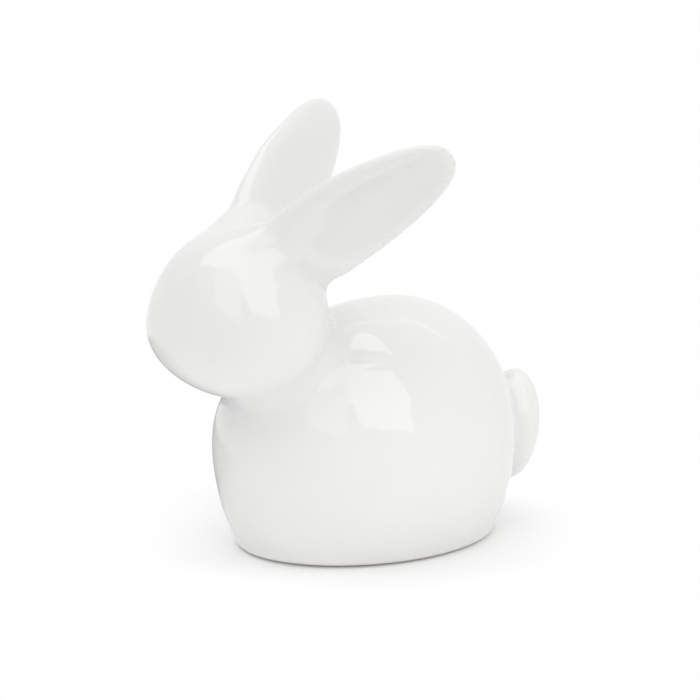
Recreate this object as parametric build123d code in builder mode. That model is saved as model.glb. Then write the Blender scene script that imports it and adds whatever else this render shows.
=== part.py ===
from build123d import *

import os
from math import cos, pi, sin

# A hollow slip-cast rabbit, sitting with its feet tucked in. Body, head, ears and tail are cast apart,
# joined with thin beds of slip and fired under one white glaze. A slab closes the foot, with felt below.
# Millimetres. It faces -Y, its left side is +X, and the origin is the middle of the felt's underside.

# Foot, the oval that the body stands on
foot_length = 68.4
foot_width = 51.0
foot_gap = 0.4

# Body, widest at the girth and rounding over to the top of the back
girth_height = 26.5
girth_width = 68.0
girth_middle = 3.5
chest_reach = 40.0
rump_reach = 38.4
back_height = 61.0
back_crown = 9.0

# Head, an egg with its muzzle a little raised
head_back = 32.0
head_height = 57.9
muzzle_lift = 7.0
muzzle_reach = 26.0
nape_reach = 18.5
head_width = 47.0
brow_reach = 27.5
chin_reach = 17.5

# Ears, leaves that sweep back and out from inside the crown of the head
ear_root_out = 6.5
ear_root_back = 29.6
ear_root_height = 74.6
ear_tip_out = 33.2
ear_tip_back = 6.5
ear_tip_height = 104.6
ear_facing = (0.87, -0.36, -0.33)
ear_width = 26.8
ear_thickness = 8.5
ear_root_front = 10.4
ear_root_rear = 10.4
ear_root_thickness = 15.0
ear_root_blend = 26.0
ear_bluntness = 0.78

# Scoop in the ear's outer face: steep under the thick upper rim, and easing out to the thin lower edge
scoop_depth = 4.2
scoop_roundness = 6.5
scoop_middle = 28.0
scoop_ahead = 40.0
scoop_behind = 16.5
scoop_shift = 3.0
scoop_low_reach = 22.0
scoop_high_reach = 6.0

# Tail, a small egg pressed on to the rump
tail_back = 41.6
tail_height = 24.0
tail_lean = 7.0
tail_width = 20.0
tail_depth = 12.5
tail_length = 29.0

# Cast walls, slip beds and the openings that the slip is poured through
wall = 4.0
slip_bed = 0.8
head_pour_hole = 14.0

# Underside
foot_rim = 3.5
slab_thickness = 4.0
slab_ledge = 3.0
firing_vent = 4.0
felt_thickness = 2.0
felt_clearance = 0.4

# How finely the curved forms are sectioned
skirt_steps = 4
crown_steps = 7
egg_steps = 14
leaf_steps = 9


def between(start, end, share):
    """The value that lies the given share of the way from start to end."""
    return start + (end - start) * share


def oval(plane, half_width, ahead, behind):
    """An egg-shaped face: half an ellipse on the plane's +Y side and half on its -Y side."""
    with BuildSketch(plane) as face:
        with BuildLine():
            EllipticalCenterArc((0, 0), half_width, ahead, 0, arc_size=180)
            EllipticalCenterArc((0, 0), half_width, behind, 180, arc_size=180)
        make_face()
    return face.sketch


def body_form(inset, floor, floor_inset):
    """The body's outer form or its hollow: drawn in by inset, and by floor_inset at its flat floor."""
    chest = chest_reach - inset
    rump = rump_reach - inset
    flank = girth_width / 2 - inset
    crown = back_height - inset
    floor_end = foot_length / 2 - floor_inset
    floor_side = foot_width / 2 - floor_inset
    sections = []
    for step in range(skirt_steps):
        rise = step / skirt_steps
        spread = 1 - (1 - rise) ** 2
        middle = between(0, girth_middle, spread)
        level = Plane.XY.offset(between(floor, girth_height, rise)).move(Pos(0, middle, 0))
        rear = between(floor_end, rump, spread) - middle
        front = between(floor_end, chest, spread) + middle
        sections.append(oval(level, between(floor_side, flank, spread), rear, front))
    for step in range(crown_steps):
        turn = pi / 2 * step / crown_steps
        middle = between(back_crown, girth_middle, cos(turn))
        level = Plane.XY.offset(between(girth_height, crown, sin(turn))).move(Pos(0, middle, 0))
        rear = between(back_crown, rump, cos(turn)) - middle
        front = between(-back_crown, chest, cos(turn)) + middle
        sections.append(oval(level, flank * cos(turn), rear, front))
    with BuildPart() as form:
        loft(sections + [Vertex(0, back_crown, crown)])
    return form.part


def egg_form(centre, ahead, behind, half_width, above, below):
    """An egg along the centre plane's Z axis, whose reach each way from its centre may differ."""
    sections = [Vertex(*centre.from_local_coords((0, 0, -behind)))]
    for step in range(1, egg_steps):
        turn = pi * (step / egg_steps - 0.5)
        reach = ahead if turn > 0 else behind
        level = centre.offset(reach * sin(turn))
        sections.append(oval(level, half_width * cos(turn), above * cos(turn), below * cos(turn)))
    sections.append(Vertex(*centre.from_local_coords((0, 0, ahead))))
    with BuildPart() as form:
        loft(sections)
    return form.part


def head_form(growth):
    """The head's egg, grown or shrunk all round."""
    lift = muzzle_lift * pi / 180
    centre = Plane((0, -head_back, head_height), x_dir=(1, 0, 0), z_dir=(0, -cos(lift), sin(lift)))
    return egg_form(
        centre,
        muzzle_reach + growth,
        nape_reach + growth,
        head_width / 2 + growth,
        brow_reach + growth,
        chin_reach + growth,
    )


def ear_form(root, length):
    """A leaf along the root plane's Z axis: thick and narrow at its root, full midway, round at its tip."""
    sections = []
    for step in range(leaf_steps):
        rise = length * sin(pi / 2 * step / leaf_steps)
        fullness = cos(pi / 2 * step / leaf_steps) ** ear_bluntness
        drawn_in = max(0, 1 - rise / ear_root_blend) ** 2
        sections.append(
            oval(
                root.offset(rise),
                between(ear_thickness / 2 * fullness, ear_root_thickness / 2, drawn_in),
                between(ear_width / 2 * fullness, ear_root_rear, drawn_in),
                between(ear_width / 2 * fullness, ear_root_front, drawn_in),
            )
        )
    with BuildPart() as form:
        loft(sections + [Vertex(*root.from_local_coords((0, 0, length)))])
    return form.part


# Forms that the castings and their slip beds are cut from
foot_level = foot_gap
slab_level = felt_thickness
seat_level = slab_level + slab_thickness + slip_bed
body_outer = body_form(0, foot_level, 0)
body_bed = body_form(-slip_bed, foot_level, -slip_bed)
body_hollow = body_form(wall, seat_level, foot_rim + slab_ledge)
head_outer = head_form(0)
head_bed = head_form(slip_bed)
head_hollow = head_form(-wall)

ear_root = Vector(ear_root_out, -ear_root_back, ear_root_height)
ear_tip = Vector(ear_tip_out, ear_tip_back, ear_tip_height)
ear_plane = Plane(ear_root, x_dir=ear_facing, z_dir=ear_tip - ear_root)
ear_leaf = ear_form(ear_plane, (ear_tip - ear_root).length)
scoop_lift = ear_thickness / 2 - scoop_depth + scoop_roundness
scoop_centre = ear_plane.from_local_coords((scoop_lift, -scoop_shift, scoop_middle))
scoop = egg_form(
    Plane(scoop_centre, x_dir=ear_facing, z_dir=ear_tip - ear_root),
    scoop_ahead,
    scoop_behind,
    scoop_roundness,
    scoop_low_reach,
    scoop_high_reach,
)

tail_tilt = tail_lean * pi / 180
tail_plane = Plane((0, tail_back, tail_height), x_dir=(1, 0, 0), z_dir=(0, sin(tail_tilt), cos(tail_tilt)))
tail_egg = egg_form(
    tail_plane,
    tail_length / 2,
    tail_length / 2,
    tail_width / 2,
    tail_depth / 2,
    tail_depth / 2,
)

# Body casting, open at the neck and at the foot
with BuildPart() as torso_shell:
    add(body_outer)
    add(body_hollow, mode=Mode.SUBTRACT)
    add(head_bed, mode=Mode.SUBTRACT)
    with BuildSketch(Plane.XY.offset(foot_level)):
        Ellipse(foot_width / 2 - foot_rim, foot_length / 2 - foot_rim)
    extrude(amount=seat_level - foot_level, mode=Mode.SUBTRACT)
torso_shell.part.label = "torso_shell"

# Head casting, with its pouring hole turned down into the body
head_centre = Vector(0, -head_back, head_height)
with BuildPart() as head_shell:
    add(head_outer)
    add(head_hollow, mode=Mode.SUBTRACT)
    with BuildSketch(Plane(head_centre, z_dir=-head_centre)):
        Circle(head_pour_hole / 2)
    extrude(amount=head_width, mode=Mode.SUBTRACT)
head_shell.part.label = "head_shell"

# Bed of slip between the head and the rim of the body's neck
with BuildPart() as neck_slip:
    add(body_outer)
    add(head_bed, mode=Mode.INTERSECT)
    add(head_outer, mode=Mode.SUBTRACT)
    add(body_hollow, mode=Mode.SUBTRACT)
neck_slip.part.label = "neck_slip"

# Left ear, cut to the head's curve, and its bed of slip
with BuildPart() as left_ear:
    add(ear_leaf)
    add(scoop, mode=Mode.SUBTRACT)
    add(head_bed, mode=Mode.SUBTRACT)
left_ear.part.label = "left_ear"

with BuildPart() as left_ear_slip:
    add(ear_leaf)
    add(scoop, mode=Mode.SUBTRACT)
    add(head_bed, mode=Mode.INTERSECT)
    add(head_outer, mode=Mode.SUBTRACT)
left_ear_slip.part.label = "left_ear_slip"

# Right ear and its bed, the mirror of the left
with BuildPart() as right_ear:
    mirror(left_ear.part, about=Plane.YZ)
right_ear.part.label = "right_ear"

with BuildPart() as right_ear_slip:
    mirror(left_ear_slip.part, about=Plane.YZ)
right_ear_slip.part.label = "right_ear_slip"

# Tail, cut to the rump's curve, and its bed of slip
with BuildPart() as tail:
    add(tail_egg)
    add(body_bed, mode=Mode.SUBTRACT)
tail.part.label = "tail"

with BuildPart() as tail_slip:
    add(tail_egg)
    add(body_bed, mode=Mode.INTERSECT)
    add(body_outer, mode=Mode.SUBTRACT)
tail_slip.part.label = "tail_slip"

# Slab that closes the foot, pierced so that steam can leave in the kiln
with BuildPart() as base_slab:
    with BuildSketch(Plane.XY.offset(slab_level)):
        Ellipse(foot_width / 2 - foot_rim - slip_bed, foot_length / 2 - foot_rim - slip_bed)
        Circle(firing_vent / 2, mode=Mode.SUBTRACT)
    extrude(amount=slab_thickness)
base_slab.part.label = "base_slab"

# Slip round the slab's edge and up on to its ledge
with BuildPart() as base_slip:
    with BuildSketch(Plane.XY.offset(slab_level)):
        Ellipse(foot_width / 2 - foot_rim, foot_length / 2 - foot_rim)
        Ellipse(
            foot_width / 2 - foot_rim - slab_ledge,
            foot_length / 2 - foot_rim - slab_ledge,
            mode=Mode.SUBTRACT,
        )
    extrude(amount=slab_thickness + slip_bed)
    with BuildSketch(Plane.XY.offset(slab_level)):
        Ellipse(foot_width / 2 - foot_rim - slip_bed, foot_length / 2 - foot_rim - slip_bed)
    extrude(amount=slab_thickness, mode=Mode.SUBTRACT)
base_slip.part.label = "base_slip"

# Felt in the foot's recess, a little proud of it
with BuildPart() as felt_pad:
    with BuildSketch(Plane.XY):
        Ellipse(foot_width / 2 - foot_rim - felt_clearance, foot_length / 2 - foot_rim - felt_clearance)
    extrude(amount=felt_thickness)
felt_pad.part.label = "felt_pad"

os.makedirs("parts", exist_ok=True)
pieces = [
    torso_shell,
    head_shell,
    neck_slip,
    left_ear,
    left_ear_slip,
    right_ear,
    right_ear_slip,
    tail,
    tail_slip,
    base_slab,
    base_slip,
    felt_pad,
]
for piece in pieces:
    export_step(piece.part, f"parts/{piece.part.label}.step")
    print(piece.part.label, round(piece.part.volume, 1))
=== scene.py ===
import logging
import math
from dataclasses import dataclass
from enum import Enum

import bpy
import numpy as np
from mathutils import Matrix, Quaternion, Vector
from mathutils.kdtree import KDTree


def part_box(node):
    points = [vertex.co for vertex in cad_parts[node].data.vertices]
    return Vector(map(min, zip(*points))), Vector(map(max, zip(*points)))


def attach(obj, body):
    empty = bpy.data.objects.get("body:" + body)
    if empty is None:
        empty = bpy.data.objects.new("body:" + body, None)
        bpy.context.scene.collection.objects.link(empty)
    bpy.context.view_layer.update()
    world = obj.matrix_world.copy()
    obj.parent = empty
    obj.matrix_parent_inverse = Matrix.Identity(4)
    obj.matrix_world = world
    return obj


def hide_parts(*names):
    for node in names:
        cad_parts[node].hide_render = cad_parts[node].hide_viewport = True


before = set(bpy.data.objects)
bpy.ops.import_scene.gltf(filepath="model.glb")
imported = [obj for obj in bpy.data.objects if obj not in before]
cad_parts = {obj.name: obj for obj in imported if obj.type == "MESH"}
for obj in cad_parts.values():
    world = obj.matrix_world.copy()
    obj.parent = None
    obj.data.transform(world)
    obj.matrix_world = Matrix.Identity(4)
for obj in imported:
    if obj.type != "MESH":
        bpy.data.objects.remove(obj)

MM = 0.001
BODY = "root"
MERGE_GAP = 0.001 * MM
CLAY_SLOT = 1
EAR_FRONT = (0.0, -0.65, 0.76)
log = logging.getLogger("rabbit")


class Casting(Enum):
    """The glazed castings, each by the name of its visible piece."""

    TORSO = "glazed_torso"
    HEAD = "glazed_head"
    LEFT_EAR = "glazed_left_ear"
    RIGHT_EAR = "glazed_right_ear"
    TAIL = "glazed_tail"


STANDS_FOR: dict[Casting, tuple[str, ...]] = {
    Casting.TORSO: ("torso_shell",),
    Casting.HEAD: ("head_shell", "neck_slip"),
    Casting.LEFT_EAR: ("left_ear", "left_ear_slip"),
    Casting.RIGHT_EAR: ("right_ear", "right_ear_slip"),
    Casting.TAIL: ("tail", "tail_slip"),
}
HOLLOW = (Casting.TORSO.value, Casting.HEAD.value)


def select_only(piece: bpy.types.Object) -> None:
    """Makes one object the only selected one, and the active one.

    Args:
        piece: the object to select.
    """
    bpy.ops.object.select_all(action="DESELECT")
    piece.select_set(True)
    bpy.context.view_layer.objects.active = piece


def apply_modifier(piece: bpy.types.Object, kind: str, **settings: object) -> None:
    """Adds a modifier to an object, sets it and applies it.

    Args:
        piece: the object to change.
        kind: the modifier's type.
        settings: the modifier's properties and their values.
    """
    select_only(piece)
    modifier = piece.modifiers.new(kind.title(), kind)
    for name, value in settings.items():
        setattr(modifier, name, value)
    bpy.ops.object.modifier_apply(modifier=modifier.name)


def copy_of_node(node: str) -> bpy.types.Object:
    """Makes a free object from a CAD node's mesh, with its loose triangles merged.

    Args:
        node: the CAD node's name.

    Returns:
        The new object, which is selected.
    """
    piece = bpy.data.objects.new(f"copy_{node}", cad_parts[node].data.copy())
    bpy.context.scene.collection.objects.link(piece)
    select_only(piece)
    bpy.ops.object.mode_set(mode="EDIT")
    bpy.ops.mesh.select_all(action="SELECT")
    bpy.ops.mesh.remove_doubles(threshold=MERGE_GAP)
    bpy.ops.object.mode_set(mode="OBJECT")
    return piece


def join(pieces: list[bpy.types.Object], name: str) -> bpy.types.Object:
    """Joins several objects into the first one.

    Args:
        pieces: the objects to join.
        name: the name of the joined object.

    Returns:
        The joined object.
    """
    select_only(pieces[0])
    for piece in pieces[1:]:
        piece.select_set(True)
    bpy.ops.object.join()
    pieces[0].name = name
    return pieces[0]


def points_of(piece: bpy.types.Object) -> np.ndarray:
    """Reads an object's vertices as an array of points, one row each."""
    points = np.empty(len(piece.data.vertices) * 3, np.float32)
    piece.data.vertices.foreach_get("co", points)
    return points.reshape(-1, 3)


def smooth_step(share: np.ndarray) -> np.ndarray:
    """Eases values from 0 to 1, flat at both ends."""
    share = np.clip(share, 0.0, 1.0)
    return share * share * (3.0 - 2.0 * share)


class Graph:
    """A small helper that lays out one material's nodes."""

    def __init__(self, name: str) -> None:
        """Starts a material with an empty node tree.

        Args:
            name: the material's name.
        """
        self.material = bpy.data.materials.new(name)
        self.material.use_nodes = True
        self.tree = self.material.node_tree
        self.tree.nodes.clear()

    def add(self, kind: str, **settings: object) -> bpy.types.Node:
        """Adds a node and sets its properties.

        Args:
            kind: the node's type.
            settings: the node's properties and their values.

        Returns:
            The new node.
        """
        node = self.tree.nodes.new(kind)
        for name, value in settings.items():
            setattr(node, name, value)
        return node

    def join(self, source: bpy.types.NodeSocket, target: bpy.types.NodeSocket) -> None:
        """Links an output to an input."""
        self.tree.links.new(source, target)

    def noise(
        self, place: bpy.types.NodeSocket, scale: float, detail: float, roughness: float
    ) -> bpy.types.NodeSocket:
        """Adds a noise texture.

        Args:
            place: the coordinates that it reads.
            scale: how many features lie in a metre.
            detail: its octaves.
            roughness: the strength of the finer octaves.

        Returns:
            The noise value.
        """
        node = self.add("ShaderNodeTexNoise")
        node.inputs["Scale"].default_value = scale
        node.inputs["Detail"].default_value = detail
        node.inputs["Roughness"].default_value = roughness
        self.join(place, node.inputs["Vector"])
        return node.outputs["Fac"]

    def ramp(
        self, value: bpy.types.NodeSocket, low: float, high: float, start: float = 0.0, end: float = 1.0
    ) -> bpy.types.NodeSocket:
        """Maps a value from one range to another, eased and clamped.

        Args:
            value: the value to map.
            low: what maps to start.
            high: what maps to end.
            start: the lowest result.
            end: the highest result.

        Returns:
            The mapped value.
        """
        node = self.add("ShaderNodeMapRange", interpolation_type="SMOOTHSTEP")
        self.join(value, node.inputs["Value"])
        for name, number in zip(("From Min", "From Max", "To Min", "To Max"), (low, high, start, end)):
            node.inputs[name].default_value = number
        return node.outputs["Result"]

    def math(
        self, operation: str, first: bpy.types.NodeSocket, second: bpy.types.NodeSocket | float
    ) -> bpy.types.NodeSocket:
        """Adds a math node.

        Args:
            operation: the node's operation.
            first: its first value.
            second: its second value, linked or fixed.

        Returns:
            The result.
        """
        node = self.add("ShaderNodeMath", operation=operation)
        self.join(first, node.inputs[0])
        if isinstance(second, bpy.types.NodeSocket):
            self.join(second, node.inputs[1])
        else:
            node.inputs[1].default_value = second
        return node.outputs[0]

    def mean(self, first: bpy.types.NodeSocket, second: bpy.types.NodeSocket) -> bpy.types.NodeSocket:
        """The mean of two values."""
        return self.math("MULTIPLY", self.math("ADD", first, second), 0.5)

    def blend(
        self,
        share: bpy.types.NodeSocket,
        first: tuple[float, float, float] | bpy.types.NodeSocket,
        second: tuple[float, float, float] | bpy.types.NodeSocket,
    ) -> bpy.types.NodeSocket:
        """Mixes two colours.

        Args:
            share: how much of the second colour shows.
            first: the colour at 0.
            second: the colour at 1.

        Returns:
            The mixed colour.
        """
        node = self.add("ShaderNodeMix", data_type="RGBA")
        self.join(share, node.inputs["Factor"])
        for socket, colour in ((node.inputs[6], first), (node.inputs[7], second)):
            if isinstance(colour, bpy.types.NodeSocket):
                self.join(colour, socket)
            else:
                socket.default_value = (*colour, 1.0)
        return node.outputs[2]

    def bump(
        self, height: bpy.types.NodeSocket, depth: float, below: bpy.types.NodeSocket | None = None
    ) -> bpy.types.NodeSocket:
        """Adds a bump.

        Args:
            height: the height value.
            depth: how far a height of 1 stands out, in metres.
            below: the normal that it is laid over.

        Returns:
            The bumped normal.
        """
        node = self.add("ShaderNodeBump")
        node.inputs["Distance"].default_value = depth
        self.join(height, node.inputs["Height"])
        if below is not None:
            self.join(below, node.inputs["Normal"])
        return node.outputs["Normal"]

    def finish(self, shader: bpy.types.Node) -> bpy.types.Material:
        """Links a shader to the material's output.

        Args:
            shader: the node whose first output is the surface.

        Returns:
            The finished material.
        """
        output = self.add("ShaderNodeOutputMaterial")
        self.join(shader.outputs[0], output.inputs["Surface"])
        return self.material


@dataclass(frozen=True)
class WhiteGlaze:
    """Clear glossy glaze over a white body, wiped off the foot; its colour is painted lighter on convex
    rims (painted highlight) and greyer in hollows (painted shade).
    """

    white: tuple[float, float, float] = (0.835, 0.83, 0.82)
    # thin: painted highlight, the lighter glaze colour on convex rims.
    thin: tuple[float, float, float] = (0.85, 0.845, 0.835)
    # Greyer colour of the random cloudy tone, and painted shade in hollows.
    cloud_and_hollow_shade: tuple[float, float, float] = (0.80, 0.80, 0.795)
    bare: tuple[float, float, float] = (0.76, 0.72, 0.66)
    speck: tuple[float, float, float] = (0.42, 0.38, 0.34)
    gloss: float = 0.035
    refraction: float = 1.5
    bare_roughness: float = 0.8
    # Where the painted shade in hollows and the painted highlight on rims fade in, along the curvature
    # value.
    hollow_shade_depth: tuple[float, float] = (0.5, 0.95)
    rim_highlight_depth: tuple[float, float] = (0.5, 0.1)
    cloud_range: tuple[float, float] = (0.35, 0.7)
    cloud_share: float = 0.35
    wave_length: float = 11 * MM
    wave_height: float = 0.24 * MM
    peel_length: float = 2.2 * MM
    peel_height: float = 0.0015 * MM
    speck_spacing: float = 7 * MM
    speck_size: float = 0.16 * MM
    speck_core: float = 0.4
    speck_strength: float = 0.8
    cells_without: float = 0.72
    wiped_height: float = 0.85 * MM
    wiped_edge: float = 0.12 * MM
    wiped_wander: float = 0.3 * MM
    wiped_wave: float = 3 * MM

    def material(self) -> bpy.types.Material:
        """Builds the glaze.

        Returns:
            The material.
        """
        graph = Graph("white_glaze")
        place = graph.add("ShaderNodeTexCoord").outputs["Object"]
        # Painted shade and highlight: greyer where the skin is hollow, lighter on convex rims.
        depth = graph.add("ShaderNodeAttribute", attribute_name="rim_and_hollow_shading").outputs["Fac"]
        colour = graph.blend(graph.ramp(depth, *self.hollow_shade_depth), self.white, self.cloud_and_hollow_shade)
        colour = graph.blend(graph.ramp(depth, *self.rim_highlight_depth), colour, self.thin)
        cloud = graph.noise(place, 1 / (2 * self.wave_length), detail=3.0, roughness=0.5)
        cloud = graph.ramp(cloud, *self.cloud_range, start=0.0, end=self.cloud_share)
        colour = graph.blend(cloud, colour, self.cloud_and_hollow_shade)
        specks = self.speck_mask(graph, place)
        colour = graph.blend(graph.math("MULTIPLY", specks, self.speck_strength), colour, self.speck)
        bare = self.bare_mask(graph, place)
        colour = graph.blend(bare, colour, self.bare)
        surface = graph.add("ShaderNodeBsdfPrincipled")
        surface.inputs["IOR"].default_value = self.refraction
        graph.join(colour, surface.inputs["Base Color"])
        graph.join(graph.ramp(bare, 0.0, 1.0, self.gloss, self.bare_roughness), surface.inputs["Roughness"])
        waves = graph.noise(place, 1 / self.wave_length, detail=1.5, roughness=0.45)
        normal = graph.bump(waves, self.wave_height)
        peel = graph.noise(place, 1 / self.peel_length, detail=0.0, roughness=0.5)
        normal = graph.bump(peel, self.peel_height, normal)
        normal = graph.bump(graph.math("MULTIPLY", specks, -1.0), self.speck_size / 4, normal)
        graph.join(normal, surface.inputs["Normal"])
        return graph.finish(surface)

    def speck_mask(self, graph: Graph, place: bpy.types.NodeSocket) -> bpy.types.NodeSocket:
        """Adds a few pinholes: a dot in some of the cells of a grid.

        Args:
            graph: the material's graph.
            place: the object's coordinates.

        Returns:
            1 in a pinhole and 0 elsewhere.
        """
        cells = graph.add("ShaderNodeTexVoronoi")
        cells.inputs["Scale"].default_value = 1 / self.speck_spacing
        graph.join(place, cells.inputs["Vector"])
        radius = self.speck_size / self.speck_spacing
        dot = graph.ramp(cells.outputs["Distance"], radius, radius * self.speck_core)
        lot = graph.add("ShaderNodeSeparateColor")
        graph.join(cells.outputs["Color"], lot.inputs["Color"])
        chosen = graph.math("GREATER_THAN", lot.outputs[0], self.cells_without)
        return graph.math("MULTIPLY", dot, chosen)

    def bare_mask(self, graph: Graph, place: bpy.types.NodeSocket) -> bpy.types.NodeSocket:
        """Marks the foot, where the glaze was wiped off before firing.

        Args:
            graph: the material's graph.
            place: the object's coordinates.

        Returns:
            1 on the bare foot and 0 on the glaze.
        """
        height = graph.add("ShaderNodeSeparateXYZ")
        graph.join(place, height.inputs["Vector"])
        ragged = graph.noise(place, 1 / self.wiped_wave, detail=2.0, roughness=0.5)
        ragged = graph.math("MULTIPLY", ragged, self.wiped_wander)
        level = graph.math("ADD", height.outputs["Z"], ragged)
        return graph.ramp(level, self.wiped_height + self.wiped_edge, self.wiped_height - self.wiped_edge)


@dataclass(frozen=True)
class BareClay:
    """Fired clay with no glaze: matt, warm and finely grained."""

    pale: tuple[float, float, float] = (0.76, 0.72, 0.66)
    dark: tuple[float, float, float] = (0.68, 0.63, 0.56)
    grain: float = 0.6 * MM
    cloud: float = 12 * MM
    mottle: tuple[float, float] = (0.35, 0.65)
    tooth: float = 0.03 * MM
    roughness: float = 0.85

    def material(self) -> bpy.types.Material:
        """Builds the bare clay.

        Returns:
            The material.
        """
        graph = Graph("bare_clay")
        place = graph.add("ShaderNodeTexCoord").outputs["Object"]
        cloud = graph.noise(place, 1 / self.cloud, detail=4.0, roughness=0.6)
        grain = graph.noise(place, 1 / self.grain, detail=3.0, roughness=0.65)
        both = graph.mean(cloud, grain)
        surface = graph.add("ShaderNodeBsdfPrincipled")
        surface.inputs["Roughness"].default_value = self.roughness
        colour = graph.blend(graph.ramp(both, *self.mottle), self.pale, self.dark)
        graph.join(colour, surface.inputs["Base Color"])
        graph.join(graph.bump(grain, self.tooth), surface.inputs["Normal"])
        return graph.finish(surface)


@dataclass(frozen=True)
class PressedFelt:
    """Dark pressed wool felt, with short tangled fibres; its near-black colour is painted shade, darkening
    the gap under the foot.
    """

    # Painted shade: the felt's near-black colours darken the shaded gap under the foot.
    dark: tuple[float, float, float] = (0.045, 0.04, 0.038)
    light: tuple[float, float, float] = (0.12, 0.11, 0.105)
    fibre: float = 0.35 * MM
    tuft: float = 2.5 * MM
    mottle: tuple[float, float] = (0.35, 0.68)
    nap: float = 0.15 * MM
    roughness: float = 0.95
    sheen: float = 0.3

    def material(self) -> bpy.types.Material:
        """Builds the felt.

        Returns:
            The material.
        """
        graph = Graph("felt_with_painted_gap_shade")
        place = graph.add("ShaderNodeTexCoord").outputs["Object"]
        fibre = graph.noise(place, 1 / self.fibre, detail=6.0, roughness=0.7)
        tuft = graph.noise(place, 1 / self.tuft, detail=2.0, roughness=0.5)
        both = graph.mean(fibre, tuft)
        surface = graph.add("ShaderNodeBsdfPrincipled")
        surface.inputs["Roughness"].default_value = self.roughness
        surface.inputs["Sheen Weight"].default_value = self.sheen
        colour = graph.blend(graph.ramp(both, *self.mottle), self.dark, self.light)
        graph.join(colour, surface.inputs["Base Color"])
        graph.join(graph.bump(both, self.nap), surface.inputs["Normal"])
        return graph.finish(surface)


@dataclass(frozen=True)
class StudioFloor:
    """Plain white floor that keeps the rabbit's shadow and turns to pure white further out."""

    white: tuple[float, float, float] = (0.93, 0.93, 0.93)
    roughness: float = 0.9
    lift: float = 0.1
    turn: float = math.radians(64.0)
    reach: tuple[float, float] = (0.06, 0.12)
    fade_start: float = 0.62

    def material(self) -> bpy.types.Material:
        """Builds the floor's finish.

        Returns:
            The material.
        """
        graph = Graph("studio_floor")
        place = graph.add("ShaderNodeMapping", vector_type="TEXTURE")
        place.inputs["Rotation"].default_value = (0.0, 0.0, self.turn)
        place.inputs["Scale"].default_value = (*self.reach, 1.0)
        graph.join(graph.add("ShaderNodeTexCoord").outputs["Object"], place.inputs["Vector"])
        length = graph.add("ShaderNodeVectorMath", operation="LENGTH")
        graph.join(place.outputs[0], length.inputs[0])
        far = graph.ramp(length.outputs["Value"], self.fade_start, 1.0)
        path = graph.add("ShaderNodeLightPath")
        seen = graph.math("MAXIMUM", path.outputs["Is Camera Ray"], path.outputs["Is Transmission Ray"])
        seen = graph.math("MAXIMUM", seen, path.outputs["Is Glossy Ray"])
        surface = graph.add("ShaderNodeBsdfPrincipled")
        surface.inputs["Base Color"].default_value = (*self.white, 1.0)
        surface.inputs["Roughness"].default_value = self.roughness
        surface.inputs["Specular IOR Level"].default_value = 0.0
        surface.inputs["Emission Color"].default_value = (1.0, 1.0, 1.0, 1.0)
        graph.join(graph.math("MULTIPLY", seen, self.lift), surface.inputs["Emission Strength"])
        white = graph.add("ShaderNodeEmission")
        both = graph.add("ShaderNodeMixShader")
        graph.join(graph.math("MULTIPLY", seen, far), both.inputs["Fac"])
        graph.join(surface.outputs[0], both.inputs[1])
        graph.join(white.outputs[0], both.inputs[2])
        return graph.finish(both)


@dataclass(frozen=True)
class FloorShadowCard:
    """Grey matt card with soft edges, seen only in the glaze: painted shade, mirrored in place of the
    rabbit's shadow on the floor.
    """

    # Painted shade: the grey that the glaze mirrors in place of the floor's shadow.
    shadow_grey: tuple[float, float, float] = (0.4, 0.4, 0.4)
    solid: float = 0.25
    edge: float = 0.5

    def material(self) -> bpy.types.Material:
        """Builds the card's finish.

        Returns:
            The material.
        """
        graph = Graph("painted_floor_shadow")
        length = graph.add("ShaderNodeVectorMath", operation="LENGTH")
        graph.join(graph.add("ShaderNodeTexCoord").outputs["Object"], length.inputs[0])
        surface = graph.add("ShaderNodeBsdfDiffuse")
        surface.inputs["Color"].default_value = (*self.shadow_grey, 1.0)
        both = graph.add("ShaderNodeMixShader")
        graph.join(graph.ramp(length.outputs["Value"], self.solid, self.edge), both.inputs["Fac"])
        graph.join(surface.outputs[0], both.inputs[1])
        graph.join(graph.add("ShaderNodeBsdfTransparent").outputs[0], both.inputs[2])
        return graph.finish(both)


@dataclass(frozen=True)
class GlowCard:
    """Evenly lit card, the face of a soft box that glossy things mirror."""

    strength: float

    def material(self) -> bpy.types.Material:
        """Builds the card's finish.

        Returns:
            The material.
        """
        graph = Graph("glow_card")
        surface = graph.add("ShaderNodeEmission")
        surface.inputs["Strength"].default_value = self.strength
        return graph.finish(surface)


@dataclass(frozen=True)
class Cut:
    """A flat joint between two castings: a point on it, and the way out of the casting that stays."""

    point: tuple[float, float, float]
    outwards: tuple[float, float, float]

    def turned(self, lap: float) -> "Cut":
        """The same joint for the other casting, which laps over the first by a hair."""
        point = Vector(self.point) - Vector(self.outwards) * lap
        return Cut(tuple(point), tuple(-part for part in self.outwards))

    def mirrored(self) -> "Cut":
        """The same joint on the other side of the rabbit."""
        return Cut(
            (-self.point[0], self.point[1], self.point[2]),
            (-self.outwards[0], self.outwards[1], self.outwards[2]),
        )


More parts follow.
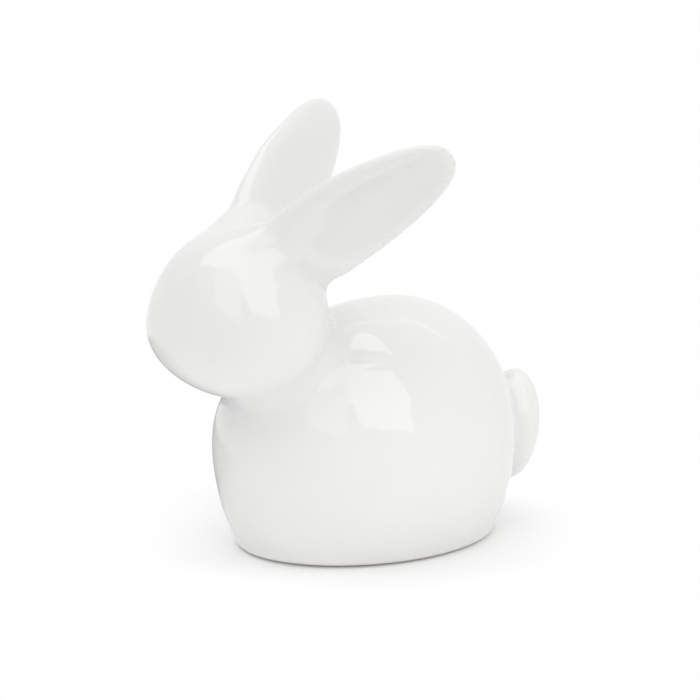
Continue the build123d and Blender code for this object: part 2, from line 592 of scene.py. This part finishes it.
@dataclass(frozen=True)
class Coil:
    """A roll of clay pressed into a joint's outer edge before it is wiped smooth, as a row of balls."""

    bed: str
    thin: float
    thick: float
    towards: tuple[float, float, float]
    both_ways: bool = False
    balls: int = 56
    ball_detail: int = 3

    def build(self) -> list[bpy.types.Object]:
        """Lays the balls round the edge of the joint's slip.

        Returns:
            The balls.
        """
        points = points_of(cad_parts[self.bed])
        spread = points - points.mean(0)
        across, along, _ = np.linalg.svd(spread, full_matrices=False)[2]
        angle = np.arctan2(spread @ along, spread @ across)
        out = np.hypot(spread @ along, spread @ across)
        step = np.floor((angle + math.pi) / (2 * math.pi) * self.balls).astype(int)
        side = spread @ np.array(self.towards)
        side = (np.abs(side) if self.both_ways else side) / np.abs(side).max()
        balls = []
        for index in np.unique(step):
            edge = max(np.nonzero(step == index)[0], key=lambda point: out[point])
            radius = self.thin + (self.thick - self.thin) * float(smooth_step(side[edge]))
            bpy.ops.mesh.primitive_ico_sphere_add(
                subdivisions=self.ball_detail, radius=radius, location=points[edge]
            )
            balls.append(bpy.context.object)
        select_only(balls[0])
        for ball in balls:
            ball.select_set(True)
        bpy.ops.object.transform_apply(location=True, rotation=True, scale=True)
        return balls


@dataclass
class GlazedSkin:
    """The castings under one glaze: a fine mesh run round all of them, then cut apart at their joints."""

    voxel: float = 0.65 * MM
    relax: float = 0.5
    all_over: int = 10
    neck_reach: float = 9.0 * MM
    neck_rounds: int = 172
    ear_reach: float = 5.5 * MM
    ear_sweep: float = 4.0 * MM
    forehead_reach: float = 20.0 * MM
    ear_rounds: int = 300
    ear_least: float = 0.45
    scoop_share: float = 0.93
    scoop_rise: float = 3.0 * MM
    tail_reach: float = 5.0 * MM
    tail_rounds: int = 50
    wall_reach: float = 12.0 * MM
    turned_in: float = 0.25
    # Scale of curvature in the painted shading value.
    curve_reach: float = 4.0 * MM
    lap: float = 0.02 * MM
    cut_gap: float = 0.0005 * MM
    coils: tuple[Coil, ...] = (
        Coil("neck_slip", 1.4 * MM, 2.8 * MM, (1.0, 0.0, 0.0), both_ways=True),
        Coil("left_ear_slip", 0.9 * MM, 3.2 * MM, EAR_FRONT),
        Coil("right_ear_slip", 0.9 * MM, 3.2 * MM, EAR_FRONT),
        Coil("tail_slip", 1.1 * MM, 1.5 * MM, (0.0, 0.0, 1.0)),
    )
    ear_facing: tuple[float, float, float] = (0.87, -0.36, -0.33)
    neck: Cut = Cut((0.0, -26.5 * MM, 50.0 * MM), (0.0, -0.53, 0.85))
    left_root: Cut = Cut((14.0 * MM, -20.3 * MM, 81.3 * MM), (0.49, 0.66, 0.57))
    rump: Cut = Cut((0.0, 37.5 * MM, 24.0 * MM), (0.0, 1.0, 0.0))

    def build(self, glaze: bpy.types.Material, clay: bpy.types.Material) -> dict[Casting, bpy.types.Object]:
        """Makes the skin and cuts it into its castings.

        Args:
            glaze: the finish of the outside.
            clay: the finish of the hollows and of the faces hidden in the joints.

        Returns:
            The cut pieces.
        """
        skin = self.fuse()
        apply_modifier(skin, "SMOOTH", factor=self.relax, iterations=self.all_over)
        self.soften_ears(skin)
        self.soften(skin, self.away_from(skin, "neck_slip") / self.neck_reach, self.neck_rounds)
        self.soften(skin, self.away_from(skin, "tail_slip") / self.tail_reach, self.tail_rounds)
        self.note_normals_and_shading(skin)
        skin.data.materials.clear()
        skin.data.materials.append(glaze)
        skin.data.materials.append(clay)
        right_root = self.left_root.mirrored()
        cuts = {
            Casting.TORSO: (self.neck, self.rump),
            Casting.HEAD: (self.neck.turned(self.lap), self.left_root, right_root),
            Casting.LEFT_EAR: (self.left_root.turned(self.lap),),
            Casting.RIGHT_EAR: (right_root.turned(self.lap),),
            Casting.TAIL: (self.rump.turned(self.lap),),
        }
        pieces = {casting: self.part_of(skin, casting, planes) for casting, planes in cuts.items()}
        bpy.data.objects.remove(skin)
        return pieces

    def fuse(self) -> bpy.types.Object:
        """Runs one fine mesh round copies of the castings and their slip.

        Returns:
            The fused mesh, hollow and open at the foot.
        """
        parts = [copy_of_node(node) for group in STANDS_FOR.values() for node in group]
        for coil in self.coils:
            parts += coil.build()
        skin = join(parts, "skin")
        apply_modifier(skin, "REMESH", mode="VOXEL", voxel_size=self.voxel, use_smooth_shade=True)
        return skin

    def away_from(self, skin: bpy.types.Object, bed: str) -> np.ndarray:
        """Measures how far each vertex is from a joint.

        Args:
            skin: the fused mesh.
            bed: the slip node at the joint.

        Returns:
            One distance for each vertex.
        """
        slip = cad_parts[bed].data.vertices
        tree = KDTree(len(slip))
        for index, vertex in enumerate(slip):
            tree.insert(vertex.co, index)
        tree.balance()
        return np.array([tree.find(vertex.co)[2] for vertex in skin.data.vertices])

    def soften_ears(self, skin: bpy.types.Object) -> None:
        """Rounds the ears' roots, with a long sweep from each ear's front edge down to the forehead.

        Args:
            skin: the fused mesh.
        """
        points = points_of(skin)
        for side, bed in ((1.0, "left_ear_slip"), (-1.0, "right_ear_slip")):
            low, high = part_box(bed)
            middle = np.array((low + high) / 2)
            ahead = (points - middle) @ np.array(EAR_FRONT)
            scooped = (points - middle) @ (np.array(self.ear_facing) * (side, 1.0, 1.0))
            sweep = smooth_step(ahead / self.ear_sweep)
            reach = self.ear_reach + (self.forehead_reach - self.ear_reach) * sweep
            near_side = points[:, 0] * side > -self.ear_reach
            share = np.where(near_side, self.away_from(skin, bed) / reach, 1.0)
            hollow = smooth_step(scooped / self.scoop_rise) * (1.0 - sweep)
            most = self.ear_least + (1.0 - self.ear_least) * sweep
            self.soften(skin, share, self.ear_rounds, most * (1.0 - self.scoop_share * hollow))

    def soften(
        self, skin: bpy.types.Object, share: np.ndarray, rounds: int, most: np.ndarray | float = 1.0
    ) -> None:
        """Rounds the skin at a joint, where the slip was wiped smooth and the glaze ran into it.

        Args:
            skin: the fused mesh.
            share: 0 at the joint and 1 where its rounding ends, for each vertex.
            rounds: how many times the skin is smoothed there.
            most: how strongly it is smoothed at the joint itself.
        """
        weights = smooth_step(1.0 - share) * most
        group = skin.vertex_groups.new(name="joint")
        for index in np.nonzero(weights > 0.0)[0]:
            group.add([int(index)], float(weights[index]), "REPLACE")
        apply_modifier(skin, "SMOOTH", factor=self.relax, iterations=rounds, vertex_group="joint")
        skin.vertex_groups.clear()

    def note_normals_and_shading(self, skin: bpy.types.Object) -> None:
        """Keeps the skin's normals, and a curvature value for the painted shading: 0 on convex rims
        (painted highlight) and 1 in hollows (painted shade).

        Args:
            skin: the smoothed mesh.
        """
        mesh = skin.data
        count = len(mesh.vertices)
        points = points_of(skin)
        normals = np.empty(count * 3, np.float32)
        mesh.vertex_normals.foreach_get("vector", normals)
        mesh.attributes.new("skin_normal", "FLOAT_VECTOR", "POINT").data.foreach_set("vector", normals)
        normals = normals.reshape(-1, 3)
        edges = np.empty(len(mesh.edges) * 2, np.int64)
        mesh.edges.foreach_get("vertices", edges)
        first, second = edges.reshape(-1, 2).T
        ties = np.bincount(edges, minlength=count).clip(1)
        run = points[second] - points[first]
        bend = ((normals[second] - normals[first]) * run).sum(1) / (run * run).sum(1).clip(1e-12)
        curve = np.bincount(edges, np.repeat(bend, 2), count) / ties
        for _ in range(self.all_over):
            total = np.bincount(first, curve[second], count) + np.bincount(second, curve[first], count)
            curve = (curve + total / ties) / 2
        # Curvature value for the painted shading: 0 on convex rims, 1 in hollows.
        depth = 0.5 - np.clip(curve * self.curve_reach, -0.5, 0.5)
        glaze = mesh.attributes.new("rim_and_hollow_shading", "FLOAT", "POINT")
        glaze.data.foreach_set("value", depth.astype(np.float32))

    def part_of(
        self, skin: bpy.types.Object, casting: Casting, planes: tuple[Cut, ...]
    ) -> bpy.types.Object:
        """Cuts one casting out of the skin.

        Args:
            skin: the whole skin.
            casting: the casting to cut out.
            planes: the joints that bound it.

        Returns:
            The closed piece.
        """
        piece = bpy.data.objects.new(casting.value, skin.data.copy())
        bpy.context.scene.collection.objects.link(piece)
        select_only(piece)
        piece.active_material_index = CLAY_SLOT
        bpy.ops.object.mode_set(mode="EDIT")
        bpy.ops.mesh.select_mode(type="FACE")
        for plane in planes:
            bpy.ops.mesh.select_all(action="SELECT")
            bpy.ops.mesh.bisect(
                plane_co=plane.point,
                plane_no=plane.outwards,
                use_fill=True,
                clear_outer=True,
                threshold=self.cut_gap,
            )
            bpy.ops.object.material_slot_assign()
        bpy.ops.object.mode_set(mode="OBJECT")
        self.keep_nearest(piece, sum(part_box(STANDS_FOR[casting][0]), Vector()) / 2)
        self.dress(piece)
        return piece

    def keep_nearest(self, piece: bpy.types.Object, middle: Vector) -> None:
        """Drops what a joint's plane cut off elsewhere, such as the other ear's tip.

        Args:
            piece: the piece to clean.
            middle: the middle of the casting.
        """
        select_only(piece)
        bpy.ops.object.mode_set(mode="EDIT")
        bpy.ops.mesh.separate(type="LOOSE")
        bpy.ops.object.mode_set(mode="OBJECT")
        islands = list(bpy.context.selected_objects)
        kept = min(islands, key=lambda island: (Vector(points_of(island).mean(0)) - middle).length).data
        for island in islands:
            if island != piece:
                bpy.data.objects.remove(island)
        piece.data = kept

    def dress(self, piece: bpy.types.Object) -> None:
        """Gives the hollow its bare clay, and the outside the whole skin's normals, so no joint shows.

        Args:
            piece: the cut piece.
        """
        slots = np.empty(len(piece.data.polygons), np.int32)
        piece.data.polygons.foreach_get("material_index", slots)
        if piece.name in HOLLOW:
            slots[self.inside_of(piece)] = CLAY_SLOT
            piece.data.polygons.foreach_set("material_index", slots)
        self.carry_normals(piece, slots)

    def inside_of(self, piece: bpy.types.Object) -> list[int]:
        """Finds the faces of a hollow: they are turned inwards and have the wall behind them.

        Args:
            piece: the cut piece.

        Returns:
            The faces' numbers.
        """
        mesh = piece.data
        count = len(mesh.polygons)
        middles = np.empty(count * 3, np.float32)
        mesh.polygons.foreach_get("center", middles)
        facing = np.empty(count * 3, np.float32)
        mesh.polygons.foreach_get("normal", facing)
        middles = middles.reshape(-1, 3)
        out = middles - points_of(piece).mean(0)
        out /= np.linalg.norm(out, axis=1, keepdims=True)
        inwards = np.nonzero((out * facing.reshape(-1, 3)).sum(1) < -self.turned_in)[0]
        starts = middles + out * self.voxel
        return [
            int(index)
            for index in inwards
            if piece.ray_cast(starts[index], out[index], distance=self.wall_reach)[0]
        ]

    def carry_normals(self, piece: bpy.types.Object, slots: np.ndarray) -> None:
        """Gives the glazed faces the normals of the whole skin.

        Args:
            piece: the cut piece.
            slots: the material slot of each face.
        """
        mesh = piece.data
        sizes = np.empty(len(mesh.polygons), np.int32)
        mesh.polygons.foreach_get("loop_total", sizes)
        corners = np.empty(len(mesh.loops), np.int32)
        mesh.loops.foreach_get("vertex_index", corners)
        kept = np.empty(len(mesh.vertices) * 3, np.float32)
        mesh.attributes["skin_normal"].data.foreach_get("vector", kept)
        normals = kept.reshape(-1, 3)[corners]
        normals[np.repeat(slots, sizes) == CLAY_SLOT] = 0.0
        mesh.normals_split_custom_set(normals.tolist())
        mesh.attributes.remove(mesh.attributes["skin_normal"])


@dataclass
class FeltFoot:
    """The felt pad in the foot's recess, with soft edges."""

    corners: int = 160
    rings: int = 6
    edge: float = 0.5 * MM
    sharpest: float = math.radians(40.0)

    def build(self, felt: bpy.types.Material) -> bpy.types.Object:
        """Makes the pad to the size of its CAD solid.

        Args:
            felt: its finish.

        Returns:
            The pad.
        """
        low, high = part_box("felt_pad")
        size = high - low
        bpy.ops.object.select_all(action="DESELECT")
        bpy.ops.mesh.primitive_cylinder_add(
            vertices=self.corners, radius=0.5, depth=1.0, end_fill_type="NGON", location=(low + high) / 2
        )
        pad = bpy.context.object
        pad.name = "felt_foot"
        pad.scale = size
        bpy.ops.object.transform_apply(location=True, rotation=True, scale=True)
        apply_modifier(pad, "BEVEL", width=self.edge, segments=self.rings, limit_method="ANGLE")
        bpy.ops.object.mode_set(mode="EDIT")
        bpy.ops.mesh.select_all(action="SELECT")
        bpy.ops.mesh.normals_make_consistent(inside=False)
        bpy.ops.object.mode_set(mode="OBJECT")
        bpy.ops.object.shade_smooth_by_angle(angle=self.sharpest)
        pad.data.materials.append(felt)
        return pad


@dataclass(frozen=True)
class Place:
    """Where a thing is, seen from the rabbit: degrees round from its front and up, and metres away."""

    azimuth: float
    elevation: float
    away: float


@dataclass(frozen=True)
class SoftBox:
    """A lamp: its width and height in metres, its power, its beam in degrees, and how far it is raised."""

    name: str
    place: Place
    size: tuple[float, float]
    watts: float
    beam: float = 180.0
    raised: float = 0.0


@dataclass(frozen=True)
class Panel:
    """A card: its width and height in metres, its turn in degrees, and its lean as a share of its width."""

    name: str
    place: Place
    size: tuple[float, float]
    finish: FloorShadowCard | GlowCard
    turn: float = 0.0
    lean: float = 0.0


@dataclass
class Studio:
    """The floor, lamps, cards and camera, as the photograph was taken."""

    azimuth: float = math.radians(64.0)
    elevation: float = math.radians(15.3)
    distance: float = 0.9
    aim: tuple[float, float, float] = (0.0, -4.1 * MM, 55.0 * MM)
    frame_right: float = -0.35 * MM
    frame_up: float = -5.8 * MM
    frame_width: float = 175.0 * MM
    sensor: float = 36.0
    nearest: float = 0.01
    room_light: float = 0.695
    floor_radius: float = 4.0
    floor_corners: int = 96
    floor_drop: float = 0.02 * MM
    shadow_sheet_height: float = 0.2 * MM
    boxes: tuple[SoftBox, ...] = (
        SoftBox("key_box", Place(60.0, 54.0, 0.9), (1.1, 0.85), watts=0.55),
        SoftBox("top_box", Place(230.0, 72.0, 1.1), (1.2, 1.2), watts=1.9),
        SoftBox(
            "foot_strip", Place(72.0, 0.0, 0.24), (0.3, 0.02), watts=0.028, beam=72.0, raised=-49.0 * MM
        ),
        SoftBox("side_box", Place(138.0, 40.0, 0.9), (0.35, 0.35), watts=1.1),
        SoftBox("front_box", Place(-38.0, 54.0, 1.0), (0.7, 0.6), watts=1.6),
    )
    panels: tuple[Panel, ...] = (
        Panel("front_glow", Place(84.0, 46.0, 0.8), (0.52, 0.72), GlowCard(2.4), turn=-24.0, lean=1.0),
        Panel("dim_glow", Place(42.0, 44.0, 0.8), (0.5, 0.55), GlowCard(1.8), turn=-24.0, lean=1.0),
        Panel("top_glow", Place(-35.0, 77.0, 0.85), (0.72, 0.62), GlowCard(2.5), turn=45.0),
        Panel("back_strip", Place(-130.0, 55.0, 0.9), (0.9, 0.035), GlowCard(1.9)),
    )
    # Painted shade: a grey sheet on the floor beside the rabbit, seen only in the glaze, in place of the
    # floor's shadow there.
    shadow_sheet: Panel = Panel("floor_shadow_sheet", Place(-74.0, 0.0, 0.115), (0.28, 0.2), FloorShadowCard())

    def build(self) -> None:
        """Sets up the floor, the lamps, the cards, the surroundings and the camera."""
        self.floor()
        for box in self.boxes:
            self.lamp(box)
        for panel in self.panels:
            self.hang(self.card(panel), panel.place, panel.turn)
        # The sheet on the floor is painted shade, seen only in the glaze.
        self.lay(self.card(self.shadow_sheet), self.shadow_sheet.place)
        self.surroundings()
        self.camera()

    def direction(self, azimuth: float, elevation: float) -> Vector:
        """The direction from the object towards a place round it.

        Args:
            azimuth: the angle round from the rabbit's front towards its left, in radians.
            elevation: the angle above the floor, in radians.

        Returns:
            The unit direction.
        """
        flat = math.cos(elevation)
        return Vector((math.sin(azimuth) * flat, -math.cos(azimuth) * flat, math.sin(elevation)))

    def floor(self) -> None:
        """Lays a wide white floor under the rabbit."""
        bpy.ops.object.select_all(action="DESELECT")
        bpy.ops.mesh.primitive_circle_add(
            vertices=self.floor_corners,
            radius=self.floor_radius,
            fill_type="NGON",
            location=(0.0, 0.0, -self.floor_drop),
        )
        floor = bpy.context.object
        floor.name = "floor"
        floor.data.materials.append(StudioFloor().material())

    def hang(self, thing: bpy.types.Object, place: Place, turn: float = 0.0) -> None:
        """Puts a lamp or card in its place, facing the rabbit.

        Args:
            thing: what to hang.
            place: where it hangs.
            turn: how far it is turned in its own plane, in degrees.
        """
        towards = self.direction(math.radians(place.azimuth), math.radians(place.elevation))
        in_plane = Quaternion((0.0, 0.0, 1.0), math.radians(turn))
        thing.location = Vector(self.aim) + towards * place.away
        thing.rotation_euler = (towards.to_track_quat("Z", "Y") @ in_plane).to_euler()

    def lay(self, card: bpy.types.Object, place: Place) -> None:
        """Lays a card on the floor beside the rabbit, as painted shade that the glaze mirrors in place of
        the floor's shadow.

        Args:
            card: the card to lay down.
            place: where it lies, with no elevation.
        """
        azimuth = math.radians(place.azimuth)
        card.location = self.direction(azimuth, 0.0) * place.away
        card.location.z = self.shadow_sheet_height
        card.rotation_euler = (0.0, 0.0, azimuth)

    def lamp(self, box: SoftBox) -> None:
        """Hangs a lamp that lights the rabbit but isn't mirrored in its glaze.

        Args:
            box: the lamp to hang.
        """
        data = bpy.data.lights.new(box.name, "AREA")
        data.shape = "RECTANGLE"
        data.size, data.size_y = box.size
        data.energy = box.watts
        data.spread = math.radians(box.beam)
        lamp = bpy.data.objects.new(box.name, data)
        lamp.visible_glossy = False
        bpy.context.scene.collection.objects.link(lamp)
        self.hang(lamp, box.place)
        lamp.location.z += box.raised

    def card(self, panel: Panel) -> bpy.types.Object:
        """Makes a card that is seen only in the rabbit's glaze.

        Args:
            panel: the card to make.

        Returns:
            The card, not yet in its place.
        """
        bpy.ops.object.select_all(action="DESELECT")
        bpy.ops.mesh.primitive_plane_add(size=1.0)
        card = bpy.context.object
        card.name = panel.name
        card.scale = (*panel.size, 1.0)
        for corner in card.data.vertices:
            corner.co.x -= panel.lean * corner.co.y
        card.visible_camera = False
        card.visible_diffuse = False
        card.visible_shadow = False
        card.data.materials.append(panel.finish.material())
        return card

    def surroundings(self) -> None:
        """Fills the shadows with an even room, which is white where it is seen or mirrored."""
        world = bpy.data.worlds.new("white_room")
        bpy.context.scene.world = world
        world.use_nodes = True
        tree = world.node_tree
        tree.nodes.clear()
        path = tree.nodes.new("ShaderNodeLightPath")
        seen = path.outputs["Is Camera Ray"]
        for kind in ("Is Glossy Ray", "Is Transmission Ray"):
            either = tree.nodes.new("ShaderNodeMath")
            either.operation = "MAXIMUM"
            tree.links.new(seen, either.inputs[0])
            tree.links.new(path.outputs[kind], either.inputs[1])
            seen = either.outputs[0]
        strength = tree.nodes.new("ShaderNodeMapRange")
        strength.inputs["To Min"].default_value = self.room_light
        strength.inputs["To Max"].default_value = 1.0
        tree.links.new(seen, strength.inputs["Value"])
        background = tree.nodes.new("ShaderNodeBackground")
        background.inputs["Color"].default_value = (1.0, 1.0, 1.0, 1.0)
        tree.links.new(strength.outputs["Result"], background.inputs["Strength"])
        output = tree.nodes.new("ShaderNodeOutputWorld")
        tree.links.new(background.outputs[0], output.inputs["Surface"])
        bpy.context.scene.view_settings.view_transform = "Standard"

    def camera(self) -> None:
        """Places the camera at the photograph's viewing angle and framing."""
        back = self.direction(self.azimuth, self.elevation)
        right = Vector((math.cos(self.azimuth), math.sin(self.azimuth), 0.0))
        up = back.cross(right)
        data = bpy.data.cameras.new("camera")
        data.sensor_width = self.sensor
        data.lens = self.sensor * self.distance / self.frame_width
        data.clip_start = self.nearest
        camera = bpy.data.objects.new("camera", data)
        bpy.context.scene.collection.objects.link(camera)
        turn = Matrix((right, up, back)).transposed().to_4x4()
        place = Vector(self.aim) + right * self.frame_right + up * self.frame_up + back * self.distance
        camera.matrix_world = Matrix.Translation(place) @ turn
        bpy.context.scene.camera = camera


def main() -> None:
    """Builds the rabbit's visible pieces and the studio, and reports each piece."""
    logging.basicConfig(level=logging.INFO, format="%(name)s: %(message)s")
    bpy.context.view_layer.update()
    clay = BareClay().material()
    castings = GlazedSkin().build(WhiteGlaze().material(), clay)
    for casting, piece in castings.items():
        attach(piece, BODY)
        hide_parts(*STANDS_FOR[casting])
        log.info("%s has %d faces", piece.name, len(piece.data.polygons))
    for node in ("base_slab", "base_slip"):
        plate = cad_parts[node]
        plate.data.materials.clear()
        plate.data.materials.append(clay)
        log.info("%s is dressed in bare clay", node)
    pad = FeltFoot().build(PressedFelt().material())
    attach(pad, BODY)
    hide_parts("felt_pad")
    log.info("%s has %d faces", pad.name, len(pad.data.polygons))
    Studio().build()


if __name__ == "__main__":
    main()
